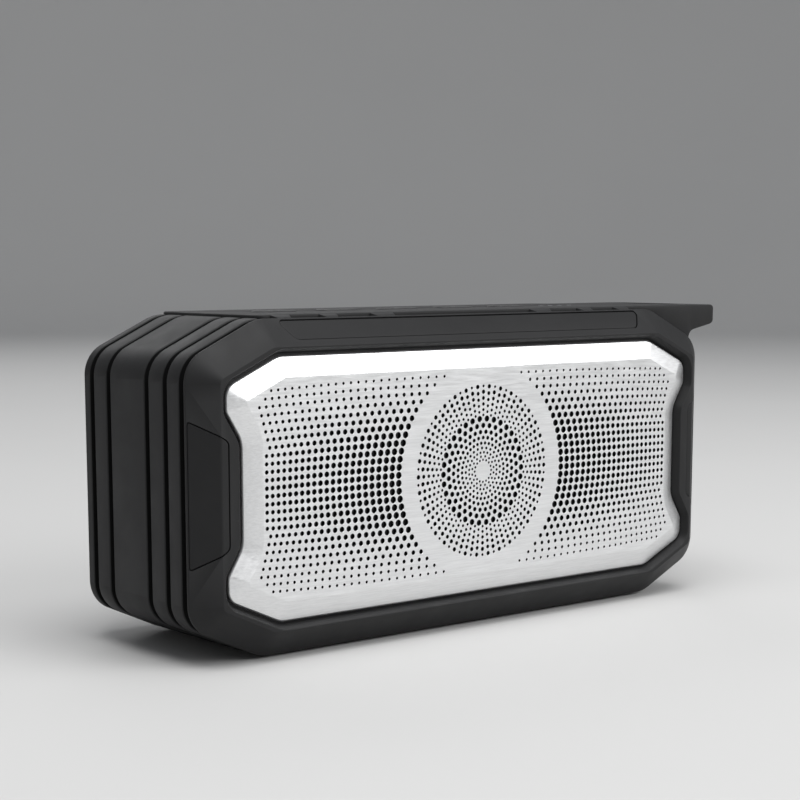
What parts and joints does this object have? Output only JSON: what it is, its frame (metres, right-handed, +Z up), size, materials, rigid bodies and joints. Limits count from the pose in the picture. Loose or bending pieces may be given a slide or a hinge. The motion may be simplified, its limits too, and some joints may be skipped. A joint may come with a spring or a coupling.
{
  "type": "portable bluetooth speaker",
  "caption": "Rugged octagonal portable speaker with a perforated aluminium front, grooved sides, a control deck with a strap lug, and a hinged rear port door.",
  "frame": {"origin": "centre of the housing's underside, on the plane that the base pad rests on", "axes": "+X along the width towards the strap lug, -Y out of the grille, +Z up"},
  "size_m": [0.2235, 0.07, 0.0993],
  "materials": {
    "shell_black": "fine moulded texture",
    "pad_black": "fine moulded texture",
    "deck_black": "soft touch",
    "button_black": "soft touch",
    "brushed_aluminium": "brushed along the width",
    "acoustic_cloth": "fine woven mesh",
    "rubber_black": "matt",
    "inner_plastic": "as moulded",
    "frame_metal": "black coated",
    "steel": "plated",
    "cone_paper": "pressed paper",
    "dust_cap": "doped cloth",
    "spider_cloth": "resin cloth",
    "copper": "enamelled wire",
    "cell_wrap": "shrink wrap",
    "board_green": "solder mask",
    "chip_black": "moulded",
    "clear_plastic": "milky light pipe",
    "lead_red": "insulated wire",
    "ribbon_white": "flat cable"
  },
  "bodies": {
    "enclosure": {"front_bezel": "shell_black", "grille_panel": "brushed_aluminium", "grille_cloth": "acoustic_cloth", "baffle": "inner_plastic", "front_gasket": "rubber_black", "main_housing": "shell_black", "rear_gasket": "rubber_black", "rear_cover": "shell_black", "top_pad": "pad_black", "bottom_pad": "pad_black", "left_pad": "pad_black", "right_pad": "pad_black", "top_deck": "deck_black", "light_pipes": "clear_plastic", "button_board": "board_green", "tact_switches": "steel", "left_frame": "frame_metal", "left_magnet": "steel", "left_surround": "rubber_black", "left_spider": "spider_cloth", "right_frame": "frame_metal", "right_magnet": "steel", "right_surround": "rubber_black", "right_spider": "spider_cloth", "radiator_frame": "frame_metal", "radiator_surround": "rubber_black", "battery_cradle": "inner_plastic", "upper_cell": "cell_wrap", "lower_cell": "cell_wrap", "main_board": "board_green", "board_parts": "chip_black", "usb_socket": "steel", "card_socket": "steel", "audio_socket": "inner_plastic", "door_pin": "steel", "base_pad": "rubber_black", "rear_screws": "steel", "bezel_screws": "steel", "frame_screws": "steel", "board_screws": "steel", "speaker_leads": "lead_red", "battery_leads": "lead_red", "button_ribbon": "ribbon_white"},
    "power_button": {"power_button": "button_black"},
    "volume_down_button": {"volume_down_button": "button_black"},
    "play_button": {"play_button": "button_black"},
    "volume_up_button": {"volume_up_button": "button_black"},
    "pairing_button": {"pairing_button": "button_black"},
    "left_diaphragm": {"left_cone": "cone_paper", "left_dust_cap": "dust_cap", "left_voice_coil": "copper"},
    "right_diaphragm": {"right_cone": "cone_paper", "right_dust_cap": "dust_cap", "right_voice_coil": "copper"},
    "radiator": {"radiator_plate": "steel"},
    "port_door": {"port_door": "rubber_black"}
  },
  "joints": [
    {"name": "power_press", "type": "slide", "parent": "enclosure", "child": "power_button", "axis": [0, 0, -1], "range_m": [0, 0.0006], "stiffness_N_per_m": 900},
    {"name": "volume_down_press", "type": "slide", "parent": "enclosure", "child": "volume_down_button", "axis": [0, 0, -1], "range_m": [0, 0.0006], "stiffness_N_per_m": 900},
    {"name": "play_press", "type": "slide", "parent": "enclosure", "child": "play_button", "axis": [0, 0, -1], "range_m": [0, 0.0006], "stiffness_N_per_m": 900},
    {"name": "volume_up_press", "type": "slide", "parent": "enclosure", "child": "volume_up_button", "axis": [0, 0, -1], "range_m": [0, 0.0006], "stiffness_N_per_m": 900},
    {"name": "pairing_press", "type": "slide", "parent": "enclosure", "child": "pairing_button", "axis": [0, 0, -1], "range_m": [0, 0.0006], "stiffness_N_per_m": 900},
    {"name": "left_stroke", "type": "slide", "parent": "enclosure", "child": "left_diaphragm", "axis": [0, -1, 0], "range_m": [-0.0012, 0.0012], "stiffness_N_per_m": 1500},
    {"name": "right_stroke", "type": "slide", "parent": "enclosure", "child": "right_diaphragm", "axis": [0, -1, 0], "range_m": [-0.0012, 0.0012], "stiffness_N_per_m": 1500},
    {"name": "radiator_stroke", "type": "slide", "parent": "enclosure", "child": "radiator", "axis": [0, -1, 0], "range_m": [-0.002, 0.002], "stiffness_N_per_m": 900},
    {"name": "door_swing", "type": "hinge", "parent": "enclosure", "child": "port_door", "pos_m": [0, 0.0333, 0.0245], "axis": [-1, 0, 0], "range_deg": [0, 100]}
  ]
}
